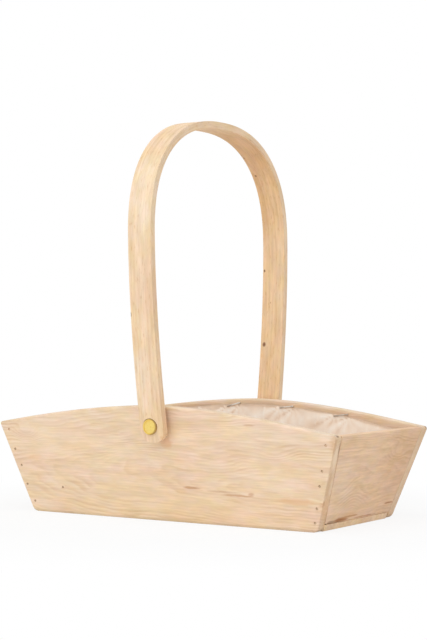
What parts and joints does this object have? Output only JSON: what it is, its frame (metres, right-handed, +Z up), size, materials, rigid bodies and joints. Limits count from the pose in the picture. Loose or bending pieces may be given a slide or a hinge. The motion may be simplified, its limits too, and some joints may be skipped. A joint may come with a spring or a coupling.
{
  "type": "garden trug",
  "caption": "Small wooden garden trug: splayed box with an arched rim, stapled film liner and a bentwood hoop handle that swings on brass-capped pivots.",
  "frame": {"origin": "on the ground plane, under the middle of the trug", "axes": "+X along the trug towards its right end, +Y across it towards its back, +Z up"},
  "size_m": [0.2986, 0.205, 0.3067],
  "materials": {
    "box_wood": "bare planed pale softwood with fine wavy grain, unvarnished",
    "handle_wood": "bare sanded pale bentwood with straight long grain",
    "spacer_wood": "turned wood, bare",
    "brass": "lightly polished brass",
    "steel": "zinc-plated steel, satin",
    "nail_steel": "dull bright-wire steel, slightly darkened",
    "staple_steel": "bright steel wire",
    "liner_film": "thin clear plastic film, creased, soft gloss"
  },
  "bodies": {
    "box": {"front_side_panel": "box_wood", "back_side_panel": "box_wood", "left_end_panel": "box_wood", "right_end_panel": "box_wood", "base_board": "box_wood", "front_pivot_bolt": "brass", "back_pivot_bolt": "brass", "front_spacer": "spacer_wood", "back_spacer": "spacer_wood", "front_washer": "steel", "back_washer": "steel", "front_lock_nut": "steel", "back_lock_nut": "steel", "front_left_brad_1": "nail_steel", "front_left_brad_2": "nail_steel", "front_left_brad_3": "nail_steel", "front_left_brad_4": "nail_steel", "front_left_brad_5": "nail_steel", "front_right_brad_1": "nail_steel", "front_right_brad_2": "nail_steel", "front_right_brad_3": "nail_steel", "front_right_brad_4": "nail_steel", "front_right_brad_5": "nail_steel", "back_left_brad_1": "nail_steel", "back_left_brad_2": "nail_steel", "back_left_brad_3": "nail_steel", "back_left_brad_4": "nail_steel", "back_left_brad_5": "nail_steel", "back_right_brad_1": "nail_steel", "back_right_brad_2": "nail_steel", "back_right_brad_3": "nail_steel", "back_right_brad_4": "nail_steel", "back_right_brad_5": "nail_steel", "left_base_nail_1": "nail_steel", "left_base_nail_2": "nail_steel", "left_base_nail_3": "nail_steel", "right_base_nail_1": "nail_steel", "right_base_nail_2": "nail_steel", "right_base_nail_3": "nail_steel", "front_staple_1": "staple_steel", "front_staple_2": "staple_steel", "front_staple_3": "staple_steel", "front_staple_4": "staple_steel", "back_staple_1": "staple_steel", "back_staple_2": "staple_steel", "back_staple_3": "staple_steel", "back_staple_4": "staple_steel", "left_staple_1": "staple_steel", "left_staple_2": "staple_steel", "right_staple_1": "staple_steel", "right_staple_2": "staple_steel", "liner": "liner_film"},
    "handle": {"handle_hoop": "handle_wood"}
  },
  "joints": [
    {"name": "handle_swing", "type": "hinge", "parent": "box", "child": "handle", "pos_m": [0.0008, 0, 0.0725], "axis": [0, 1, 0], "range_deg": [-100, 100]}
  ]
}
